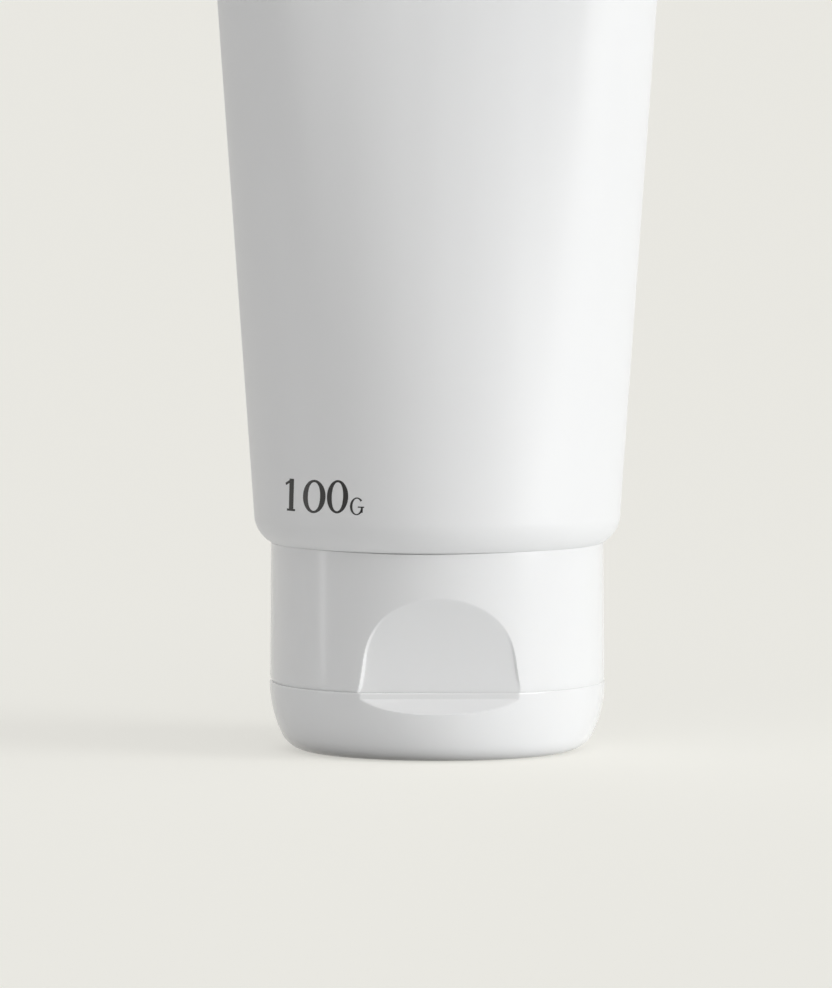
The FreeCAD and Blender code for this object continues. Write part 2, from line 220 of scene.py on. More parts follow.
# %% [markdown]
# ## Floor
# The floor is a wide matt sweep with two looks. What the camera sees, and what a glossy
# surface mirrors, is the background's colour. It is partly paint and partly glow, so that
# it stays even and still takes a faint shadow. What lights the object is painted bounce
# light: grey paint with a weak glow on the left, like a grey card, and white paint with a
# stronger glow on the right, like a white card. Round the base, most at the left, both give
# way to a painted contact shadow, dark paint with no glow, which shades the foot of the lid.

# %% Floor
FLOOR_HALF, FLOOR_DROP = 20.0, 0.00002
SWEEP_PAINT, SWEEP_GLOW = "#B4B3AE", "#BEBDB8"
# Painted bounce light seen by the object: grey paint and a weak glow on the left, white paint and a
# stronger glow on the right.
CARD_COLOURS, CARD_LEVELS, CARD_BLEND = ("#C6C6C6", "#F0F2F2"), (0.12, 0.20), 60.0
# Painted contact shadow: dark paint, with the glow gone, round a point near the base, most at the left.
CONTACT_SHADE_COLOUR, CONTACT_SHADE_CENTRE = "#55514C", (-1.9, -1.1, 0.0)
CONTACT_SHADE_FULL, CONTACT_SHADE_END = 11.0, 18.5
floor_mesh = bpy.data.meshes.new("floor")
floor_corners = np.array([[-1, -1], [1, -1], [1, 1], [-1, 1]]) * FLOOR_HALF
floor_mesh.from_pydata([(x, y, -FLOOR_DROP) for x, y in floor_corners], [], [(0, 1, 2, 3)])
floor = bpy.data.objects.new("floor", floor_mesh)
scene.collection.objects.link(floor)
paint = bpy.data.materials.new("matt_sweep_painted_bounce_and_shade")
paint.use_nodes = True
tree = paint.node_tree
tree.nodes.clear()
place = add_node(tree, "ShaderNodeTexCoord")
across = add_node(tree, "ShaderNodeSeparateXYZ", inputs={0: place.outputs["Object"]})
to_right = add_node(tree, "ShaderNodeMapRange", {"interpolation_type": "SMOOTHSTEP"}, {
    "Value": across.outputs["X"], "From Min": -CARD_BLEND * MM, "From Max": CARD_BLEND * MM})
card_colour = add_node(tree, "ShaderNodeMix", {"data_type": "RGBA"}, {
    0: to_right.outputs[0], 6: linear(CARD_COLOURS[0]), 7: linear(CARD_COLOURS[1])})
card_level = add_node(tree, "ShaderNodeMapRange", inputs={
    "Value": to_right.outputs[0], "To Min": CARD_LEVELS[0], "To Max": CARD_LEVELS[1]})
# The painted contact shadow: close to the base the paint turns to the dark colour and the glow fades out.
from_base = add_node(tree, "ShaderNodeVectorMath", {"operation": "DISTANCE"}, {
    0: place.outputs["Object"], 1: tuple(v * MM for v in CONTACT_SHADE_CENTRE)})
clear_of_painted_shade = add_node(tree, "ShaderNodeMapRange", {"interpolation_type": "SMOOTHSTEP"}, {
    "Value": from_base.outputs["Value"], "From Min": CONTACT_SHADE_FULL * MM, "From Max": CONTACT_SHADE_END * MM})
shaded_card_colour = add_node(tree, "ShaderNodeMix", {"data_type": "RGBA"}, {
    0: clear_of_painted_shade.outputs[0], 6: linear(CONTACT_SHADE_COLOUR), 7: card_colour.outputs[2]})
glow_level = add_node(tree, "ShaderNodeMath", {"operation": "MULTIPLY"}, {
    0: card_level.outputs[0], 1: clear_of_painted_shade.outputs[0]})
card_paint = add_node(tree, "ShaderNodeBsdfDiffuse", inputs={"Color": shaded_card_colour.outputs[2]})
card_glow = add_node(tree, "ShaderNodeEmission", inputs={"Strength": glow_level.outputs[0]})
card = add_node(tree, "ShaderNodeAddShader", inputs={0: card_paint.outputs[0], 1: card_glow.outputs[0]})
sweep_paint = add_node(tree, "ShaderNodeBsdfDiffuse", inputs={"Color": linear(SWEEP_PAINT)})
sweep_glow = add_node(tree, "ShaderNodeEmission", inputs={"Color": linear(SWEEP_GLOW), "Strength": 1.0})
sweep = add_node(tree, "ShaderNodeAddShader", inputs={0: sweep_paint.outputs[0], 1: sweep_glow.outputs[0]})
choice = add_node(tree, "ShaderNodeMixShader", inputs={
    0: seen_or_mirrored(tree), 1: card.outputs[0], 2: sweep.outputs[0]})
add_node(tree, "ShaderNodeOutputMaterial", inputs={"Surface": choice.outputs[0]})
floor_mesh.materials.append(paint)
print("floor nodes", len(tree.nodes))

# %% [markdown]
# ## How the surfaces are made
# Each piece is a grid of rows and columns. A row is one level of the moulded profile and
# a column is one line that runs along it, so a lathe-like shape, a helix of thread or a
# hollow pressed into a wall is a formula over both. Corners of a profile are rounded as
# a mould's are, and columns stand closer where there is more to show.

# %% Profiles
def rounded(points, radii, steps=4):
    """A profile with its corners rounded, each by a quadratic curve.

    The curve leaves the one side and meets the other at the given distance from the corner.
    """
    points = np.array(points, float)
    out = [points[:1]]
    t = np.linspace(0, 1, steps + 1)[:, None]
    for before, here, after, radius in zip(points, points[1:], points[2:], radii[1:-1]):
        start = here + (before - here) / np.linalg.norm(before - here) * radius
        end = here + (after - here) / np.linalg.norm(after - here) * radius
        curve = (1 - t) ** 2 * start + 2 * t * (1 - t) * here + t ** 2 * end
        out.append(curve if radius > 0 else here[None])
    out.append(points[-1:])
    return np.concatenate(out)


def divided(points, step):
    """A profile with points added along each side, evenly, so that none is longer than the step."""
    out = []
    for a, b in zip(points, points[1:]):
        count = max(1, int(np.ceil(np.linalg.norm(b - a) / step)))
        out.append(a + (b - a) * (np.arange(count) / count)[:, None])
    out.append(points[-1:])
    return np.concatenate(out)


def arc_rows(centre, radius, start, end, steps):
    """Points of a circle's arc between two angles in degrees, as (r, z)."""
    angle = np.radians(np.linspace(start, end, steps + 1))
    return np.stack([centre[0] + radius * np.cos(angle), centre[1] + radius * np.sin(angle)], 1)


# %% [markdown]
# A row of the grid is a level of the profile turned through all the columns' angles.
# Rows can then be pushed in or out, blended with one another, or laid between two others.

# %% Columns and rows
CLOSEST = 0.0012


def columns(count, windows, extra):
    """Angles round the axis, closer together in the windows.

    A window is (middle, half width, density). The angles share out the running total of
    the density evenly, and the extra ones take the place of any that stand too close.
    """
    fine = np.linspace(-math.pi, math.pi, 7201)
    density = np.ones_like(fine)
    for middle, half, gain in windows:
        away = np.abs((fine - middle + math.pi) % (2 * math.pi) - math.pi)
        density += (gain - 1) / (1 + np.exp((away - half) / 0.02))
    total = np.concatenate([[0], np.cumsum((density[1:] + density[:-1]) / 2)])
    even = np.interp(np.arange(count) / count * total[-1], total, fine)
    near = np.min(np.abs(even[:, None] - np.array(extra)[None]), axis=1)
    return np.sort(np.concatenate([even[near > CLOSEST], extra]))


def smooth_step(t):
    """Rises from 0 to 1 between 0 and 1, level at both ends."""
    t = np.clip(t, 0, 1)
    return t * t * (3 - 2 * t)


def upper(a, b, k):
    """The larger of two heights, with the crease between them rounded over a width k."""
    h = np.clip(0.5 + 0.5 * (a - b) / k, 0, 1)
    return b + (a - b) * h + k * h * (1 - h)


def lathe(profile, angles):
    """Rows of points: each (r, z) of the profile turned through all the angles."""
    r, z = profile[:, 0:1], profile[:, 1:2]
    return np.stack([r * np.cos(angles), r * np.sin(angles), z + 0 * angles], -1)


def between(first, last, shares):
    """Rows that lie at the given shares of the way from one row to another."""
    shares = np.array(shares)[:, None, None]
    return first * (1 - shares) + last * shares


# %% [markdown]
# A mesh is made in one step, from whole arrays of points and of faces' corners. Edges
# that turn by more than a set angle are marked sharp, and all others are shaded smoothly.

# %% Meshes
def build(name, points, corners, sizes, sharp):
    """A mesh object from points in millimetres.

    The faces' corners come in one list, with each face's number of corners beside it.
    """
    mesh = bpy.data.meshes.new(name)
    mesh.vertices.add(len(points))
    mesh.vertices.foreach_set("co", (np.asarray(points) * MM).astype(np.float32).ravel())
    mesh.loops.add(len(corners))
    mesh.loops.foreach_set("vertex_index", corners.astype(np.int32))
    mesh.polygons.add(len(sizes))
    starts = np.concatenate([[0], np.cumsum(sizes)[:-1]]).astype(np.int32)
    mesh.polygons.foreach_set("loop_start", starts)
    mesh.polygons.foreach_set("loop_total", sizes.astype(np.int32))
    mesh.update(calc_edges=True)
    mesh.validate()
    mesh.polygons.foreach_set("use_smooth", np.full(len(mesh.polygons), True))
    mesh.set_sharp_from_angle(angle=math.radians(sharp))
    piece = bpy.data.objects.new(name, mesh)
    scene.collection.objects.link(piece)
    low, high = np.min(points, 0).round(2), np.max(points, 0).round(2)
    print(name, "triangles", int((sizes - 2).sum()), "low", low, "high", high)
    return piece


def finish_piece(piece, body, slot, material, *nodes):
    """Let a piece ride on its body, give it its material and let it stand for its nodes. The slot is not
    used.
    """
    piece.data.materials.append(material)
    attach(piece, body)
    if nodes:
        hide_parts(*nodes)


# %% [markdown]
# A grid of rows gets a face between each two rows and each two columns. It is closed at
# its ends, so that every piece is a solid, and its faces point outwards.

# %% Meshes from rows
def grid_mesh(name, rows, end="pole", sharp=32):
    """A closed mesh from rows of points in millimetres.

    Columns close round on themselves. The first and the last row each shrink to a
    pole, or the last row joins the first one ("loop"). If the volume comes out
    negative, the faces are turned over.
    """
    count, width = rows.shape[:2]
    index = np.arange(count * width).reshape(count, width)
    if end == "loop":
        index = np.vstack([index, index[:1]])
    a, b = index[:-1], index[1:]
    quads = np.stack([a, np.roll(a, -1, 1), np.roll(b, -1, 1), b], -1).reshape(-1, 4)
    points = rows.reshape(-1, 3)
    triangles = np.zeros((0, 3), int)
    if end != "loop":
        first, last = index[0], index[-1]
        points = np.concatenate([points, rows[0].mean(0)[None], rows[-1].mean(0)[None]])
        low, high = count * width, count * width + 1
        fan_low = np.stack([np.full(width, low), np.roll(first, -1), first], -1)
        fan_high = np.stack([np.full(width, high), last, np.roll(last, -1)], -1)
        triangles = np.concatenate([fan_low, fan_high])
    p = points[quads]
    volume = np.einsum("ij,ij->", p[:, 0], np.cross(p[:, 1], p[:, 2]) + np.cross(p[:, 2], p[:, 3]))
    q = points[triangles] if len(triangles) else np.zeros((1, 3, 3))
    volume += np.einsum("ij,ij->", q[:, 0], np.cross(q[:, 1], q[:, 2]))
    if volume < 0:
        quads, triangles = quads[:, ::-1], triangles[:, ::-1]
    sizes = np.concatenate([np.full(len(quads), 4), np.full(len(triangles), 3)])
    return build(name, points, np.concatenate([quads.ravel(), triangles.ravel()]), sizes, sharp)


# %% [markdown]
# ## Materials
# Three plastics and one ink. None is a flat colour: each has the small unevenness in
# tone, gloss and surface that its making leaves. Only the sizes and the strengths of
# these differ, so one function lays out the nodes for all four.

# %% Uneven finish
def drift(tree, feature_mm, stretch=(1, 1, 1), detail=2.0):
    """Noise on the object's own coordinates: the size of its features, and how far they are stretched."""
    place = add_node(tree, "ShaderNodeTexCoord")
    turned = add_node(tree, "ShaderNodeMapping", inputs={
        "Vector": place.outputs["Object"], "Scale": tuple(1 / s for s in stretch)})
    return add_node(tree, "ShaderNodeTexNoise", inputs={
        "Vector": turned.outputs[0], "Scale": 1 / (feature_mm * MM), "Detail": detail}).outputs["Fac"]


def uneven_finish(name, ior, tones, gloss, heights, let_in=None):
    """A material whose tone, gloss and height each follow a drift of their own.

    Tones are the drift's settings and two colours. Gloss is the drift's settings and the
    roughness where it is 0.3 and where it is 0.7. Each of the heights is the drift's
    settings and a depth in millimetres, and is laid over the one before. The light let in
    is a weight, how far each colour goes, and a scale in millimetres.
    """
    material = bpy.data.materials.new(name)
    material.use_nodes = True
    tree = material.node_tree
    tree.nodes.clear()
    tone_drift, first, second = tones
    colour = add_node(tree, "ShaderNodeMix", {"data_type": "RGBA"}, {
        "Factor": drift(tree, **tone_drift), "A": linear(first), "B": linear(second)})
    gloss_drift, low, high = gloss
    roughness = add_node(tree, "ShaderNodeMapRange", inputs={
        "Value": drift(tree, **gloss_drift), "From Min": 0.3, "From Max": 0.7,
        "To Min": low, "To Max": high})
    relief = {}
    for height_drift, depth_mm in heights:
        bump = add_node(tree, "ShaderNodeBump", inputs={
            "Height": drift(tree, **height_drift), "Distance": depth_mm * MM, **relief})
        relief = {"Normal": bump.outputs[0]}
    shader = add_node(tree, "ShaderNodeBsdfPrincipled", inputs={
        "Base Color": colour.outputs["Result"], "Roughness": roughness.outputs[0], "IOR": ior, **relief})
    if let_in:
        weight, reach, scale_mm = let_in
        shader.inputs["Subsurface Weight"].default_value = weight
        shader.inputs["Subsurface Radius"].default_value = reach
        shader.inputs["Subsurface Scale"].default_value = scale_mm * MM
    add_node(tree, "ShaderNodeOutputMaterial", inputs={"Surface": shader.outputs[0]})
    print(name, "nodes", len(tree.nodes))
    return material


# %% [markdown]
# Sleeve film: extruded white polyethylene with a soft satin lacquer. Drawing it off the
# die leaves faint lines along its length, and the lacquer's gloss drifts a little, so
# the light spreads into one broad soft band with a slightly uneven edge.

# %% Sleeve film
film = uneven_finish(
    "extruded_white_pe_film_satin_lacquer", 1.51,
    tones=({"feature_mm": 14}, "#F3F3F3", "#F6F6F6"),
    gloss=({"feature_mm": 5, "stretch": (1, 1, 4)}, 0.40, 0.47),
    heights=[({"feature_mm": 1.4, "stretch": (1, 1, 40)}, 0.0025), ({"feature_mm": 0.25}, 0.0006)])

# %% [markdown]
# Cap plastic: polypropylene moulded in a polished tool. It has a clear gloss, with a
# slow wobble where the wall shrank, and lets a little light through at thin edges.

# %% Cap plastic
cap_plastic = uneven_finish(
    "injection_moulded_white_pp_polished", 1.50,
    tones=({"feature_mm": 11}, "#F5F5F5", "#F6F6F6"),
    gloss=({"feature_mm": 3}, 0.15, 0.19),
    heights=[({"feature_mm": 7}, 0.006), ({"feature_mm": 0.12}, 0.0003)],
    let_in=(0.12, (1.0, 0.95, 0.9), 0.8))

# %% [markdown]
# Head plastic: natural white polyethylene moulded in a plain tool. It is waxy, a shade
# warmer than the cap, and its surface is finely clouded.

# %% Head plastic
head_plastic = uneven_finish(
    "injection_moulded_natural_pe", 1.51,
    tones=({"feature_mm": 6}, "#EDEEEA", "#F1F2EE"),
    gloss=({"feature_mm": 2}, 0.34, 0.44),
    heights=[({"feature_mm": 0.4}, 0.002)],
    let_in=(0.25, (1.0, 0.9, 0.8), 1.2))

# %% [markdown]
# Ink: one layer of dark screen print, slightly glossier than the film, with pinholes
# of unevenness where the mesh of the screen left less of it.

# %% Ink
ink = uneven_finish(
    "screen_printed_dark_ink", 1.50,
    tones=({"feature_mm": 0.35, "detail": 4.0}, "#0D0D0F", "#1A1A1C"),
    gloss=({"feature_mm": 0.5}, 0.28, 0.38),
    heights=[({"feature_mm": 0.15}, 0.002)])

# %% [markdown]
# ## The sleeve
# The sleeve is a cut of extruded tube. Its film can't stretch, so its girth is the same
# at every level: round at the shoulder, and wider and flatter towards the crimp. Each
# level is an oval of four arcs that meet in line, two ends and two flatter sides, and
# the sides swell most a third of the way up where the cleanser has settled. Below, it
# is drawn over the head's rounded corner and welded to it.

# %% Sleeve
SEAL_CROWN, SEAL_END_R, FULLNESS = 0.05, 0.45, 0.6
GIRTH = 2 * math.pi * SLEEVE_R


def oval_arcs(half_width, end_r, crown):
    """Side radius, the angle where an end arc meets a side, and the girth of the oval."""
    offset = half_width - end_r
    side_r = (offset ** 2 + crown ** 2 + 2 * end_r * crown) / (2 * crown)
    meet = np.arctan2(side_r - end_r - crown, offset)
    return side_r, meet, 4 * (end_r * meet + side_r * (math.pi / 2 - meet))


def halving(function, low, high):
    """Where a rising function is zero, found for a whole array at once by halving the span sixty times."""
    for _ in range(60):
        middle = (low + high) / 2
        below = function(middle) < 0
        low, high = np.where(below, middle, low), np.where(below, high, middle)
    return (low + high) / 2


SEAL_HALF_W = float(halving(lambda w: oval_arcs(w, SEAL_END_R, SEAL_CROWN)[2] - GIRTH,
                            np.array(SLEEVE_R), np.array(2 * SLEEVE_R)))


def sleeve_point(levels, lengths):
    """Points of the ovals at levels from 0, round, to 1, flat, and at lengths along the film.

    A column keeps its length along the film from the oval's end, so it follows the
    material. Up to the meeting point it lies on the end arc, and from there on the
    side arc; the other three quarters mirror the first.
    """
    t = np.maximum(levels, 1e-4)
    crown = SEAL_CROWN * t + FULLNESS * SLEEVE_R * t * (1 - t) ** 2
    half = SLEEVE_R + (SEAL_HALF_W - SLEEVE_R) * t
    end_r = halving(lambda r: oval_arcs(half, r, crown)[2] - GIRTH,
                    np.full_like(t, 0.1), np.full_like(t, SLEEVE_R))
    side_r, meet = oval_arcs(half, end_r, crown)[:2]
    share = (lengths / GIRTH) % 1.0
    along = np.abs((share * 4 + 1) % 2 - 1) * GIRTH / 4
    on_end = along < end_r * meet
    angle = np.where(on_end, along / end_r, meet + (along - end_r * meet) / side_r)
    x = np.where(on_end, half - end_r + end_r * np.cos(angle), side_r * np.cos(angle))
    y = np.where(on_end, end_r * np.sin(angle), end_r + crown - side_r + side_r * np.sin(angle))
    x = x * np.where((share > 0.25) & (share < 0.75), -1, 1)
    y = y * np.where(share > 0.5, -1, 1)
    return np.stack([x, y, CORNER_RZ[1] + t * (SEAL_Z - CORNER_RZ[1]) + 0 * x], -1)


SLEEVE_COLUMNS = 360
film_lengths = np.arange(SLEEVE_COLUMNS) / SLEEVE_COLUMNS * GIRTH
turn = film_lengths / SLEEVE_R
contents_z, weld_z = cone_z(BORE_R) + SHOULDER_DROP, cone_z(HEAD_R) + SHOULDER_DROP
under = rounded([(0.6, contents_z), (BORE_R, contents_z), (HEAD_R, weld_z), (HEAD_R, cone_z(HEAD_R)),
                 CONE_START], [0, 0.3, 0.15, 0.1, 0], 3)
corner = arc_rows(CORNER_RZ, CORNER_R, math.degrees(CONE_ANGLE) - 90, 0, 20)
foot = lathe(np.concatenate([under, corner[1:-1]]), turn)
levels = np.linspace(0, 1, 200) ** 1.15
wall = sleeve_point(levels[:, None], film_lengths[None])
steps = np.diff(wall, axis=1, append=wall[:, :1])
girths = np.linalg.norm(steps, axis=2).sum(1)
print("crimp half width", round(SEAL_HALF_W, 3), "girths differ by", float(np.ptp(girths).round(3)))

# %% [markdown]
# The film isn't quite even: it lies in shallow upright waves, a few hundredths of a
# millimetre deep, that fade out at the shoulder and the crimp. They only press inwards.

# %% Sleeve surface
WAVE_DEPTH = 0.012


def film_waves(rows):
    """The wall pressed inwards, towards the axis, by slow waves that lean a little with height.

    Three sines with 11, 17 and 29 waves to the girth are added up, lifted so that the sum
    is never below nought, and faded out over the lowest and the highest part.
    """
    x, y, z = np.moveaxis(rows, -1, 0)
    share = (film_lengths / GIRTH * 2 * math.pi)[None]
    lean = (z - CORNER_RZ[1]) / 60
    wave = np.sin(11 * share + lean)
    wave = wave + 0.7 * np.sin(17 * share - 1.6 * lean + 1.3)
    wave = wave + 0.5 * np.sin(29 * share + 0.8)
    level = (z - CORNER_RZ[1]) / (SEAL_Z - CORNER_RZ[1])
    depth = WAVE_DEPTH * (2.2 + wave) * smooth_step(level / 0.15) * smooth_step((1 - level) / 0.2)
    length = np.hypot(x, y)
    return np.stack([x * (1 - depth / length), y * (1 - depth / length), z], -1)


# The last row is drawn together inside the crimp, so that the film ends closed.
shut = wall[-1:] * np.array([0.985, 0.2, 1]) + np.array([0, 0, 0.4])
sleeve = grid_mesh("sleeve_film", np.concatenate([foot, film_waves(wall), shut]))
finish_piece(sleeve, "tube", "sleeve_film", film, "tube_sleeve")

# %% [markdown]
# The end is pressed flat between two hot jaws. The jaws' teeth leave fine upright ribs
# on both faces, and the two layers show as a line along the cut end.

# %% Crimp
RIB_PITCH, RIB_DEPTH = 0.9, 0.09
RIB_FOOT, RIB_HEAD, RIB_REACH = 0.5, 5.55, 28.6
SEAL_COLUMNS = 1080
seal_lengths = np.arange(SEAL_COLUMNS) / SEAL_COLUMNS * GIRTH
outline = sleeve_point(np.ones(1), seal_lengths)
# Each row is a height over the crimp's foot and a share of its full thickness.
profile = np.array([[-0.5, 0.90], [-0.12, 0.97], [0.15, 1.0], [0.5, 1.0], [0.6, 1.0], [1.2, 1.0],
                    [2.4, 1.0], [3.6, 1.0], [4.8, 1.0], [5.3, 1.0], [5.45, 1.0], [5.85, 1.0],
                    [5.96, 0.93], [6.0, 0.8], [6.0, 0.45], [5.97, 0.22], [5.88, 0.06]])
rise_up, thick = profile[:, 0:1], profile[:, 1:2]
outline_x, outline_y = outline[None, :, 0], outline[None, :, 1]
teeth = 0.5 - 0.5 * np.cos(2 * math.pi * outline_x / RIB_PITCH)
rib_ends = smooth_step((rise_up - RIB_FOOT) / 0.3) * smooth_step((RIB_HEAD - rise_up) / 0.3)
pressed = RIB_DEPTH * teeth * rib_ends * smooth_step((RIB_REACH - np.abs(outline_x)) / 0.4)
seal_x = outline_x * (1 - 0.004 * (1 - np.clip(thick, 0.8, 1)) / 0.2)
seal_y = outline_y * thick
seal_y = seal_y - np.sign(seal_y) * np.minimum(pressed, np.abs(seal_y) * 0.8)
seal_z = SEAL_Z + rise_up + 0 * outline_x
crimp = grid_mesh("crimp_seal", np.stack([seal_x + 0 * thick, seal_y, seal_z], -1))
finish_piece(crimp, "tube", "sleeve_film", film)

# %% [markdown]
# ## The head
# The head is one moulding: a cone-shaped shoulder, whose rim the sleeve is welded to,
# and the threaded neck. The thread is a right-handed ridge of about one and a half
# turns, flat-topped, with sloping sides, that runs out gently at both ends so that the
# mould can be opened.

# %% Head
THREAD_PITCH, THREAD_TURNS, THREAD_START_Z = 3.0, 1.6, 10.2
NECK_CORE, NECK_END_Z = 7.4, 8.61


def thread_ridge(angles, z, start_z, turns, crest, foot):
    """Height from 0 to 1 of a helical ridge: its crest and its foot are the full widths along the axis.

    A point's place is counted in turns up the helix. The nearest turn gives its
    distance from the ridge's middle line, and the ridge fades out over a twelfth of a
    turn at its two ends.
    """
    climb = (z - start_z) / THREAD_PITCH - angles / (2 * math.pi)
    nearest = np.round(climb)
    distance = np.abs(climb - nearest) * THREAD_PITCH
    place = nearest + angles / (2 * math.pi)
    ends = smooth_step(place * 12) * smooth_step((turns - place) * 12)
    return smooth_step((foot / 2 - distance) / ((foot - crest) / 2)) * ends


head_columns = np.linspace(-math.pi, math.pi, 240, endpoint=False)
head_profile = rounded([(BORE_R, contents_z), (BORE_R, NECK_END_Z), (NECK_CORE, NECK_END_Z),
                        (NECK_CORE, cone_z(NECK_CORE)), (HEAD_R, cone_z(HEAD_R)), (HEAD_R, weld_z),
                        (BORE_R, contents_z)],
                       [0, 0.2, 0.35, 0.5, 0.1, 0.1, 0], 4)
head_profile = divided(head_profile[:-1], 0.13)
head_rows = lathe(head_profile, head_columns)
on_neck = (np.abs(head_profile[:, 0] - NECK_CORE) < 0.02) & (head_profile[:, 1] > NECK_END_Z + 0.3)
ridge = thread_ridge(head_columns[None], head_profile[:, 1:2], THREAD_START_Z, THREAD_TURNS, 0.7, 1.7)
swell = 1 + (NECK_R - NECK_CORE) * ridge * on_neck[:, None] / NECK_CORE
head_rows[..., :2] *= swell[..., None]
head = grid_mesh("neck_and_shoulder", head_rows, end="loop", sharp=40)
finish_piece(head, "tube", "head_plastic", head_plastic, "tube_head")

# %% [markdown]
# ## The cap body
# One moulding in one closed surface. Down the outside runs the skirt, with the thumb
# recess pressed into its front and the hinge's pad at its back. Below are the deck, the
# ring that centres the lid, and the spout. Up through the orifice the surface goes on
# inside: the plug that seals the neck, the threaded collar and the skirt's inner wall.

# %% Recess and hinge pads
RECESS_HALF, RECESS_H, RECESS_D, RECESS_FLARE, RECESS_TURN = 8.0, 9.9, 2.33, 0.42, 0.026
PAD_HALF, PAD_Y, POCKET_Y, LID_INNER = 5.5, 17.45, 16.90, 16.1
PAD_NEAR, PAD_FACE, PAD_FAR, BESIDE = 0.6, 2.36, 3.8, 0.004


def recess_depth(x, y, z, growth, slope):
    """How far a wall at (x, y, z) moves back for the recess, which is grown for the inner wall.

    The floor is nearly upright at the parting line and runs out at the wall at the top,
    its depth falling with the 2.4th power of the height. It is a shade deeper on its
    left. The outline is an arch, the square of the width plus the cube of the height,
    with feet that flare out a little. From the outline in, the wall falls to the floor
    along an S-shaped flank, a tenth of a millimetre and the slope times the depth wide.
    """
    depth, height, half = RECESS_D + growth, RECESS_H + growth, RECESS_HALF + growth
    h = np.clip(z - BODY_Z, 0, height)
    floor_y = -BODY_R + depth * (1 - (h / height) ** 2.4) - RECESS_TURN * x * (1 - h / height)
    drop = np.where((y < 0) & (z < BODY_Z + height), np.maximum(floor_y - y, 0), 0)
    u, v = np.abs(x) / (half + RECESS_FLARE * np.clip(1 - h / 3.5, 0, 1) ** 2), h / height
    inside = (1 - u ** 2 - v ** 3) / np.maximum(np.hypot(2 * u / half, 3 * v ** 2 / height), 0.01)
    return drop * smooth_step(inside / (0.10 + slope * drop))


def pad_front(x, y, z, way):
    """The wall at the back with the hinge's pad on it, and cut back to the pocket beside the film.

    The pad is upright for over half its height and then slopes back into the wall.
    Way is 1 on the body, above the film, and -1 on the lid, below it.
    """
    off = (z - PARTING_Z) * way
    pad = PAD_Y - (PAD_Y - LID_INNER) * np.clip((off - PAD_FACE) / (PAD_FAR - PAD_FACE), 0, 1.2)
    pad = np.where(off < PAD_FAR + 0.2, pad, -1.0)
    here = (y > 0) & (np.abs(x) < PAD_HALF)
    with_pad = np.where(here, np.maximum(y, pad), y)
    return np.where(here & (off < PAD_NEAR), np.minimum(y, POCKET_Y), with_pad)


def both_sides(middle, away, step):
    """Angles for a pair of columns close beside each other, on either side of a middle."""
    return [middle + side * (away + near) for side in (-1, 1) for near in (-step, step)]


PAD_EDGE_R, RING_R, RING_FRONT = 17.33, 15.4, 13.1
RING_END = math.acos(RING_FRONT / RING_R)
pad_edge = both_sides(BACK, math.asin(PAD_HALF / PAD_EDGE_R), 0.0012)
ring_edge = both_sides(FRONT, RING_END, 0.002)
print("the ring ends", round(math.degrees(RING_END), 2), "degrees from the front")

# %% [markdown]
# The rim's top follows the shoulder at a hair's distance. The gap opens a little at the
# front left, where the seam shows as a dark line.

# %% Cap body's rim
FRONT_WINDOW, BACK_WINDOW = (FRONT, math.radians(31), 4.5), (BACK, math.radians(21), 2.2)
body_columns = columns(372, [FRONT_WINDOW, BACK_WINDOW], pad_edge + ring_edge)
RIM_SHUT, RIM_SHUT_EDGE = 0.008, 0.05
RIM_OPEN, RIM_OPEN_EDGE = 0.075, 0.22
OPEN_MIDDLE, OPEN_SPREAD = math.radians(-10), math.radians(26)
rim_in_r = CAP_R - 1.2
rim_in_z = cone_z(rim_in_r) - RIM_OPEN


def from_front(angles):
    """Angles measured from the front, from minus to plus half a turn."""
    return (angles - FRONT + math.pi) % (2 * math.pi) - math.pi


def rim_rows(gap, edge_round):
    """The rim's top, a gap under the shoulder's cone and its corner, with a rounded outer edge."""
    corner_z = CORNER_RZ[1] - math.sqrt(CORNER_R ** 2 - (CAP_R - CORNER_RZ[0]) ** 2)
    profile = rounded([(rim_in_r, rim_in_z - 1.0), (rim_in_r, cone_z(rim_in_r) - gap),
                       (CONE_START[0], CONE_START[1] - gap), (CAP_R, corner_z - gap), (CAP_R, 20.3)],
                      [0, 0.08, 0, edge_round, 0], 6)
    return lathe(profile[1:], body_columns)


open_here = np.exp(-((from_front(body_columns) - OPEN_MIDDLE) / OPEN_SPREAD) ** 2)[None, :, None]
rim_shut, rim_open = rim_rows(RIM_SHUT, RIM_SHUT_EDGE), rim_rows(RIM_OPEN, RIM_OPEN_EDGE)
rim = rim_shut + (rim_open - rim_shut) * open_here
print("rim rows", len(rim), "columns", len(body_columns))

# %% [markdown]
# From the rim down, the skirt widens evenly, by the mould's draft. Its lower edge is drawn
# in more round the left than round the right, where the seam at the parting line hardly
# shows. The recess and the pad are then worked into the rows.

# %% Cap body rows, down the outside
EDGE_HEIGHT, EDGE_DEEP, EDGE_SLIGHT, SIDE_CHANGE = 0.65, 0.20, 0.05, 1.6
FLANK_SLOPE = 0.5
SKIRT_END_Z = BODY_Z + EDGE_HEIGHT
skirt_z = np.append([19.4, 18.4, 17.7, 17.3], np.linspace(17.0, SKIRT_END_Z, 77))
skirt_z = np.append(skirt_z, [PARTING_Z + PAD_FACE, PARTING_Z + PAD_FAR])
skirt_z = np.sort(skirt_z)[::-1]
edge_rise = np.array([0.46, 0.37, 0.29, 0.21, 0.145, 0.11, 0.07, 0.035, 0.012, 0.0])
pocket_z = PARTING_Z + PAD_NEAR + np.array([0.05, BESIDE, -BESIDE])
edge_z = np.append(pocket_z, BODY_Z + edge_rise)
skirt = np.stack([BODY_R - (BODY_R - CAP_R) * (skirt_z - SKIRT_END_Z) / (RIM_Z - SKIRT_END_Z), skirt_z], 1)


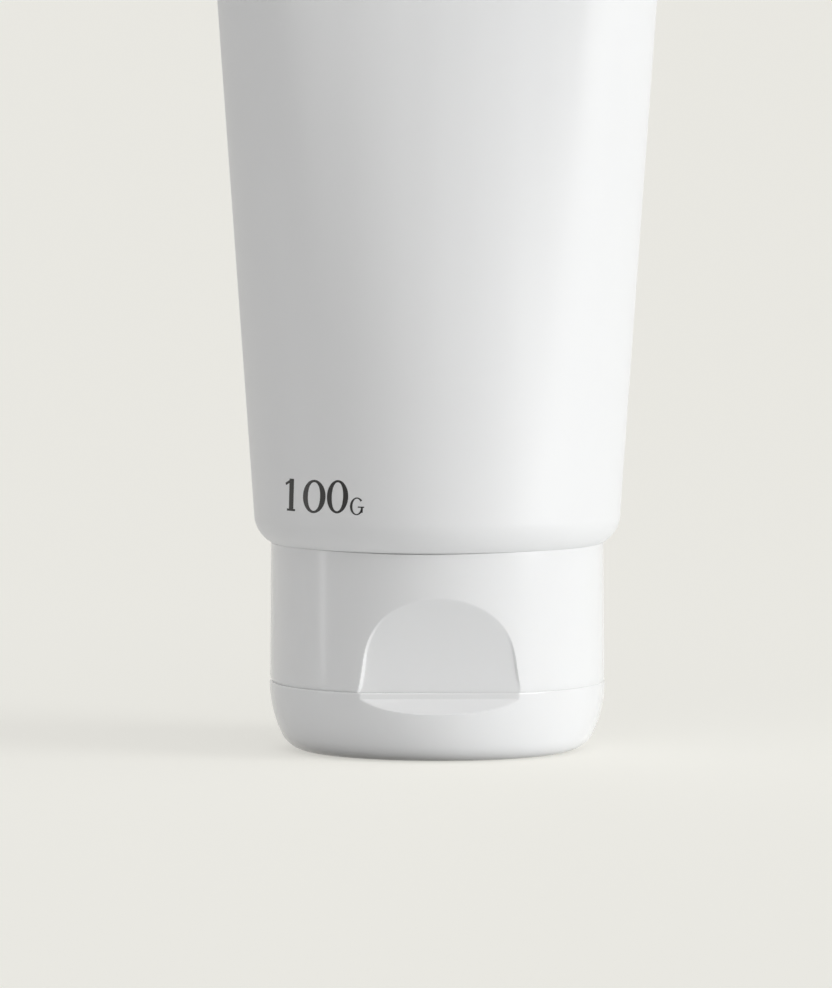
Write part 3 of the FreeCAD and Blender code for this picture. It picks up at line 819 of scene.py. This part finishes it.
def at_right(angles):
    """One round the right of the cap and nought round its left: the cosine, made steeper and smoothed."""
    return smooth_step(0.5 + SIDE_CHANGE * np.cos(angles))[None, :, None]


def body_front(rows):
    """The outer wall with the recess pressed in and the hinge's pad standing out."""
    x, y, z = np.moveaxis(rows, -1, 0)
    back = recess_depth(x, y, z, 0.0, FLANK_SLOPE)
    return np.stack([x, pad_front(x, y + back, z, 1), z], -1)


def lower_edge(depth):
    """The skirt's lower edge, drawn in by the depth along an arc that starts upright."""
    edge_r = (EDGE_HEIGHT ** 2 + depth ** 2) / (2 * depth)
    edge = BODY_R - edge_r + np.sqrt(edge_r ** 2 - (SKIRT_END_Z - edge_z) ** 2)
    return lathe(np.stack([edge, edge_z], 1), body_columns)


edge_deep, edge_slight = lower_edge(EDGE_DEEP), lower_edge(EDGE_SLIGHT)
edge = edge_deep + (edge_slight - edge_deep) * at_right(body_columns)
outside = body_front(np.concatenate([rim, lathe(skirt, body_columns), edge]))
print("outside rows", len(outside))

# %% [markdown]
# The deck's underside carries a low ring that centres the lid. It is open at the front,
# where the lid's wall comes in for the scoop, and there the rows follow the recess's
# outline instead of lying in circles. The spout stands in the middle, with a
# bevelled lip that sheds the cleanser.

# %% Cap body rows, under the deck
FRONT_HALF, FRONT_FADE = math.radians(36), math.radians(6)
UNDER_OUT, UNDER_IN, RING_DROP = 17.02, 13.5, 0.75
away_from_front = np.abs(from_front(body_columns))
near_front = smooth_step((FRONT_HALF - away_from_front) / FRONT_FADE)[None, :, None]
ring_here = (away_from_front > RING_END).astype(float)[None]
shares = np.array([0.12, 0.25, 0.322, 0.334, 0.36, 0.56, 0.583, 0.594, 0.8, 1.0])
drop = RING_DROP * np.array([0, 0, 0, 0.92, 1, 1, 0.92, 0, 0, 0])[:, None]
shallow = between(outside[-1:], lathe(np.array([[UNDER_IN, BODY_Z]]), body_columns), shares)
circle_r = UNDER_OUT + (UNDER_IN - UNDER_OUT) * shares
circles = lathe(np.stack([circle_r, np.full_like(shares, BODY_Z)], 1), body_columns)
underside = circles * (1 - near_front) + shallow * near_front
underside[..., 2] -= drop * ring_here
SPOUT_R, SPOUT_BORE, SPOUT_Z = 3.4, 2.2, 5.51
SEAL_IN, SEAL_OUT, SEAL_TOP = 3.0, 3.85, 10.01
COLLAR_R, COLLAR_OUT = 8.45, 9.6
spout = rounded([(12.0, BODY_Z), (SPOUT_R, BODY_Z), (SPOUT_R, SPOUT_Z), (SPOUT_BORE, SPOUT_Z),
                 (SPOUT_BORE, DECK_Z), (SEAL_IN, DECK_Z), (SEAL_IN, SEAL_TOP), (SEAL_OUT, SEAL_TOP),
                 (SEAL_OUT, DECK_Z), (COLLAR_R, DECK_Z)],
                [0, 0.3, 0.4, 0.12, 0.1, 0.1, 0.12, 0.2, 0.15, 0], 4)
spout = lathe(divided(spout, 1.6), body_columns)
print("spout rows", len(spout))

# %% [markdown]
# Inside, the collar's own thread lies half a pitch from the neck's, so that the two
# ridges pass each other. Beyond it the skirt's wall follows the recess at an even
# thickness, as a moulded wall has to.

# %% Cap body rows, inside
collar_top = cone_z(COLLAR_OUT) - 1.4
bore_z = np.linspace(DECK_Z + 0.1, collar_top - 0.2, 42)
bore = lathe(np.stack([np.full_like(bore_z, COLLAR_R), bore_z], 1), body_columns)
collar_start_z = THREAD_START_Z + THREAD_PITCH / 2
collar_ridge = thread_ridge(body_columns[None], bore_z[:, None], collar_start_z, 1.5, 0.6, 1.5)
shrink = 1 - 0.8 * collar_ridge / COLLAR_R
bore[..., :2] *= shrink[..., None]
collar = rounded([(COLLAR_R, collar_top - 0.15), (COLLAR_R, collar_top), (COLLAR_OUT, collar_top),
                  (COLLAR_OUT, DECK_Z), (9.9, DECK_Z)], [0, 0.15, 0.2, 0.15, 0], 3)
collar = lathe(collar[1:], body_columns)
inner_z = np.append([DECK_Z + 0.02, DECK_Z + 0.25], np.linspace(9.2, 18.6, 24))
inner_z = np.append(inner_z, [19.6, rim_in_z - 0.2])
inner = lathe(np.stack([np.full_like(inner_z, rim_in_r), inner_z], 1), body_columns)
inner[..., 1] += recess_depth(inner[..., 0], inner[..., 1], inner[..., 2], 1.2, 0.9)
floor_rows = between(collar[-1:], inner[:1], np.array([0.3, 0.6, 0.85, 0.97]))
floor_rows[..., 2] = DECK_Z
body_rows = np.concatenate([outside, underside, spout, bore, collar, floor_rows, inner])
body = grid_mesh("cap_shell", body_rows, end="loop", sharp=38)
finish_piece(body, "cap", "cap_plastic", cap_plastic, "cap_body")

# %% [markdown]
# Eight ribs tie the collar to the skirt. Each is thinner at its top, as the mould's
# draft makes it, and its top edges are rounded. The two beside the recess are shorter.

# %% Ribs inside the cap
RIB_BASE_Z, RIB_TOP_Z = 8.35, 14.01
RIB_COUNT, RIB_FROM, RIB_TO, RIB_TO_SHORT = 8, 9.1, 16.5, 15.0
section = np.array([[-0.48, RIB_BASE_Z], [-0.42, 13.6], [-0.36, 13.88], [-0.22, RIB_TOP_Z],
                    [0.22, RIB_TOP_Z], [0.36, 13.88], [0.42, 13.6], [0.48, RIB_BASE_Z]])
rib_angles = math.pi / RIB_COUNT * (1 + 2 * np.arange(RIB_COUNT))
rib_ends = np.where(np.cos(rib_angles - FRONT) > 0.9, RIB_TO_SHORT, RIB_TO)
ends = np.stack([np.full(RIB_COUNT, RIB_FROM), rib_ends], 1)
along = ends[:, :, None] + 0 * section[None, None, :, 0]
across = 0 * along + section[None, None, :, 0]
height = 0 * along + section[None, None, :, 1]
cosine, sine = np.cos(rib_angles)[:, None, None], np.sin(rib_angles)[:, None, None]
rib_points = np.stack([along * cosine - across * sine, along * sine + across * cosine, height], -1)
sides = len(section)
first = (np.arange(RIB_COUNT) * 2 * sides)[:, None] + np.arange(sides)[None]
second = first + sides
walls = np.stack([first, second, np.roll(second, -1, 1), np.roll(first, -1, 1)], -1).reshape(-1)
caps = np.concatenate([first, second[:, ::-1]], 1).reshape(-1)
sizes = np.concatenate([np.full(RIB_COUNT * sides, 4), np.full(2 * RIB_COUNT, sides)])
ribs = build("collar_ribs", rib_points.reshape(-1, 3), np.concatenate([walls, caps]), sizes, 25)
finish_piece(ribs, "cap", "cap_plastic", cap_plastic)

# %% [markdown]
# ## The lid
# The lid is a shallow cup: its flat base is what the tube stands on, and a wide fillet
# carries the base into a side that leans out to the cap's edge. A hollow is scooped
# under its front edge for the thumb, and the wall follows it inside. In the middle
# stands the plug that shuts the spout. The base has a small sunk gate mark.

# %% Lid's sizes and walls
LID_SIDE_R, LID_FILLET, LID_WALL, LIP_R, LIP_SLIGHT = 12.7, 3.0, 1.3, 0.15, 0.4
LID_SIDE = (LID_R - LID_SIDE_R, PARTING_Z)
SCOOP_DEPTH, SCOOP_DROP, SCOOP_R, SCOOP_BAND, SCOOP_LEAN = 2.05, 2.15, 4.6, 0.60, 0.09
SCOOP_TOP, SCOOP_FALL = LID_Z - SCOOP_BAND, SCOOP_DROP - SCOOP_BAND
chord = math.hypot(SCOOP_DEPTH, SCOOP_FALL)
offset = math.sqrt(SCOOP_R ** 2 - (chord / 2) ** 2)
SCOOP_YZ = (-LID_R + SCOOP_DEPTH / 2 - offset * SCOOP_FALL / chord,
            SCOOP_TOP - SCOOP_FALL / 2 + offset * SCOOP_DEPTH / chord)
lid_columns = columns(372, [(FRONT, math.radians(34), 4.0), BACK_WINDOW], pad_edge)
lid_reach = math.sqrt((LID_SIDE_R - LID_FILLET) ** 2 - (PARTING_Z - LID_FILLET) ** 2)
BASE_R = LID_SIDE[0] + lid_reach
lid_meet = math.degrees(math.atan2(LID_FILLET - PARTING_Z, lid_reach))
print("the fillet meets the base at radius", round(BASE_R, 2))


def lid_side(inset, z):
    """Points of the lid's side arc at heights z, for the outside or, inset by the wall, the inside."""
    return np.stack([LID_SIDE[0] + np.sqrt((LID_SIDE_R - inset) ** 2 - (PARTING_Z - z) ** 2), z], 1)


def scooped(rows, growth, softness):
    """The wall pushed back wherever the scoop's round rod, or the rod grown by the wall, reaches in.

    Over the scoop a narrow band under the lid's edge is all but upright, and leans to the front a little.
    """
    x, y, z = np.moveaxis(rows, -1, 0)
    under_rod = (SCOOP_R + growth) ** 2 - (np.minimum(z, SCOOP_TOP) - SCOOP_YZ[1]) ** 2
    rod_y = np.where(under_rod > 0, SCOOP_YZ[0] + np.sqrt(np.maximum(under_rod, 0)), -99.0)
    rod_y = rod_y - SCOOP_LEAN * np.maximum(z - SCOOP_TOP, 0)
    return np.stack([x, np.where(y < 0, upper(y, rod_y, softness), y), z], -1)


def lid_back(rows):
    """The lid's outer wall with the hinge's pad, and the pocket beside the film cut back."""
    x, y, z = np.moveaxis(rows, -1, 0)
    return np.stack([x, pad_front(x, y, z, -1), z], -1)


def lip_rounded(rows):
    """The lid's wall drawn in at its upper edge, along a quarter circle as high as LIP_R.

    Round the left it is drawn in by as much, and round the right by the slight share of it.
    """
    t = np.clip((rows[..., 2:] - LID_Z + LIP_R) / LIP_R, 0, 1)
    share = 1 - (1 - LIP_SLIGHT) * at_right(lid_columns)
    drawn_in = 1 - (1 - np.sqrt(1 - t ** 2)) * LIP_R / LID_R * share
    return np.concatenate([rows[..., :2] * drawn_in, rows[..., 2:]], -1)


# %% [markdown]
# The rows run from the gate mark out over the base, up the fillet and the side to the
# lip, down the inner wall and in over the floor, and up round the plug to the middle.

# %% Lid
CREASE = 0.05
base = np.array([[0.5, 0.14], [1.1, 0.13], [1.45, 0.02], [1.6, 0.0],
                 [5.0, 0.0], [9.0, 0.0], [12.0, 0.0], [13.2, 0.0]])
fillet = arc_rows((BASE_R, LID_FILLET), LID_FILLET, -90, lid_meet, 16)
pad_z = PARTING_Z - np.array([PAD_NEAR + BESIDE, PAD_NEAR - BESIDE, PAD_FACE, PAD_FAR])
side_z = np.append(np.linspace(fillet[-1, 1] + 0.11, 7.04, 46), pad_z)
side_z = np.append(np.sort(side_z), [7.09, 7.12, 7.14, LID_Z])
side = lid_side(0, side_z)
outer = lathe(np.concatenate([base, fillet, side]), lid_columns)
outer = lip_rounded(lid_back(scooped(outer, 0, CREASE)))
inner_side_z = np.concatenate([[7.11, 7.03], np.linspace(6.8, 3.4, 26)])
inner_wall = scooped(lathe(lid_side(LID_WALL, inner_side_z), lid_columns), LID_WALL, CREASE)
# The lip's inner edge stands a shade further out than the inner wall, as a small bevel.
lip_in = inner_wall[:1] * np.array([1.003, 1.003, 1]) + np.array([0, 0, LID_Z - 7.11])
lip = between(outer[-1:], lip_in, np.array([0.25, 0.75, 1.0]))
inner_fillet = arc_rows((BASE_R, LID_FILLET), LID_FILLET - LID_WALL, lid_meet, -90, 9)
PLUG_R, PLUG_TIP_R, PLUG_BORE, PLUG_BEVEL_Z, PLUG_Z = 2.05, 1.80, 1.2, 6.51, 7.41
plug = rounded([(BASE_R - 0.5, LID_WALL), (PLUG_R, LID_WALL), (PLUG_R, PLUG_BEVEL_Z), (PLUG_TIP_R, PLUG_Z),
                (PLUG_BORE, PLUG_Z), (PLUG_BORE, LID_WALL), (0.3, LID_WALL)],
               [0, 0.4, 0.3, 0.15, 0.1, 0.15, 0], 4)
inside = lathe(np.concatenate([inner_fillet, divided(plug, 2.5)]), lid_columns)
lid = grid_mesh("flip_lid_shell", np.concatenate([outer, lip, inner_wall, inside]), sharp=38)
finish_piece(lid, "lid", "cap_plastic", cap_plastic, "flip_lid")

# %% [markdown]
# ## The film hinge
# A short strip of the same plastic, thinnest half way, joins the two pads. On the cap
# it bends through the whole turn of the lid; here it is one straight strip, tied to neither body.

# %% Film hinge
HINGE_Y, HINGE_HALF_H, HINGE_HALF_T, HINGE_THINNED = 17.20, 0.6, 0.15, 0.045
film_z = np.linspace(7.75, 6.55, 25)
waist = HINGE_HALF_T - HINGE_THINNED * np.cos((film_z - PARTING_Z) / HINGE_HALF_H * math.pi / 2) ** 2
# The section's corners go round: their x, and their y as a share of half the thickness.
round_section = np.array([[5.0, -0.7], [5.0, 0.7], [4.92, 1.0], [2.5, 1.0], [0.0, 1.0],
                          [-2.5, 1.0], [-4.92, 1.0], [-5.0, 0.7], [-5.0, -0.7], [-4.92, -1.0],
                          [-2.5, -1.0], [0.0, -1.0], [2.5, -1.0], [4.92, -1.0]])
strip_x = round_section[None, :, 0] + 0 * film_z[:, None]
strip_y = HINGE_Y + round_section[None, :, 1] * waist[:, None]
hinge = grid_mesh("film_hinge", np.stack([strip_x, strip_y, film_z[:, None] + 0 * strip_x], -1), sharp=50)
hinge.data.materials.append(cap_plastic)
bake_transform(hinge)
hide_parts("living_hinge")

# %% [markdown]
# ## The printed mark
# The sleeve carries one generic mark, the quantity in plain numerals with a small unit
# letter. It is printed on the film, so its strokes follow the film's curve and stand
# out by no more than the ink is thick.

# %% Mark
INK_T, INK_SUNK = 0.012, 0.03
FOOT_Z, DIGIT_H, LEAN = 25.50, 3.42, 0.006


def stroke(name, centre, normal, half_width, loop=False):
    """One stroke of ink: a flat ribbon along a path on the film.

    The path, its normal and the half width are arrays in the film's own plane: length
    along the film from the middle of the front, and height. The section has four
    corners, two under the film's surface and two above.
    """
    side = np.array([-1, -1, 1, 1])[None]
    lift = np.array([-INK_SUNK, INK_T, INK_T, -INK_SUNK])[None]
    length = centre[:, 0:1] + normal[:, 0:1] * half_width[:, None] * side
    height = centre[:, 1:2] + normal[:, 1:2] * half_width[:, None] * side
    length = length * (1 - LEAN * (height - FOOT_Z))
    level = (height - CORNER_RZ[1]) / (SEAL_Z - CORNER_RZ[1])
    at = sleeve_point(level, 0.75 * GIRTH + length)
    out = at[..., :2] / np.linalg.norm(at[..., :2], axis=-1, keepdims=True)
    at[..., :2] += out * lift[..., None]
    piece = grid_mesh(name, at, end="loop" if loop else "pole", sharp=30)
    finish_piece(piece, "tube", "sleeve_film", ink)


def straight(name, a, b, half_width):
    """A straight stroke between two points."""
    t = np.linspace(0, 1, 9)[:, None]
    path = np.array(a) * (1 - t) + np.array(b) * t
    way = (np.array(b, float) - a) / np.linalg.norm(np.array(b, float) - a)
    stroke(name, path, np.tile([-way[1], way[0]], (9, 1)), np.full(9, half_width))


def bowl(name, centre, half_w, half_h, start, end, thick, thin):
    """An oval stroke between two angles in degrees, closed if it goes full circle.

    It is thick at its sides and thin at its top and foot, by the square of the cosine.
    """
    full = end - start >= 360
    angle = np.radians(np.linspace(start, end, 97))[:-1 if full else None]
    path = np.stack([centre[0] + half_w * np.cos(angle), centre[1] + half_h * np.sin(angle)], 1)
    normal = np.stack([half_h * np.cos(angle), half_w * np.sin(angle)], 1)
    normal /= np.linalg.norm(normal, axis=1, keepdims=True)
    stroke(name, path, normal, thin + (thick - thin) * np.cos(angle) ** 2, full)


straight("mark_one_stem", (-17.49, FOOT_Z + 0.10), (-17.49, FOOT_Z + DIGIT_H - 0.04), 0.36)
straight("mark_one_flag", (-18.48, FOOT_Z + DIGIT_H - 0.62), (-17.48, FOOT_Z + DIGIT_H - 0.18), 0.13)
straight("mark_one_foot", (-18.20, FOOT_Z + 0.17), (-16.84, FOOT_Z + 0.17), 0.11)
bowl("mark_zero_left", (-14.13, FOOT_Z + DIGIT_H / 2), 1.19, DIGIT_H / 2 - 0.12, 0, 360, 0.35, 0.12)
bowl("mark_zero_right", (-11.12, FOOT_Z + DIGIT_H / 2 + 0.09), 0.99, DIGIT_H / 2 - 0.12, 0, 360, 0.30, 0.11)
bowl("mark_unit_bowl", (-8.80, FOOT_Z + 0.90), 0.64, 0.84, 40, 335, 0.14, 0.06)
straight("mark_unit_bar", (-8.67, FOOT_Z + 0.82), (-7.97, FOOT_Z + 0.82), 0.06)
straight("mark_unit_post", (-8.22, FOOT_Z + 0.82), (-8.22, FOOT_Z + 0.26), 0.11)
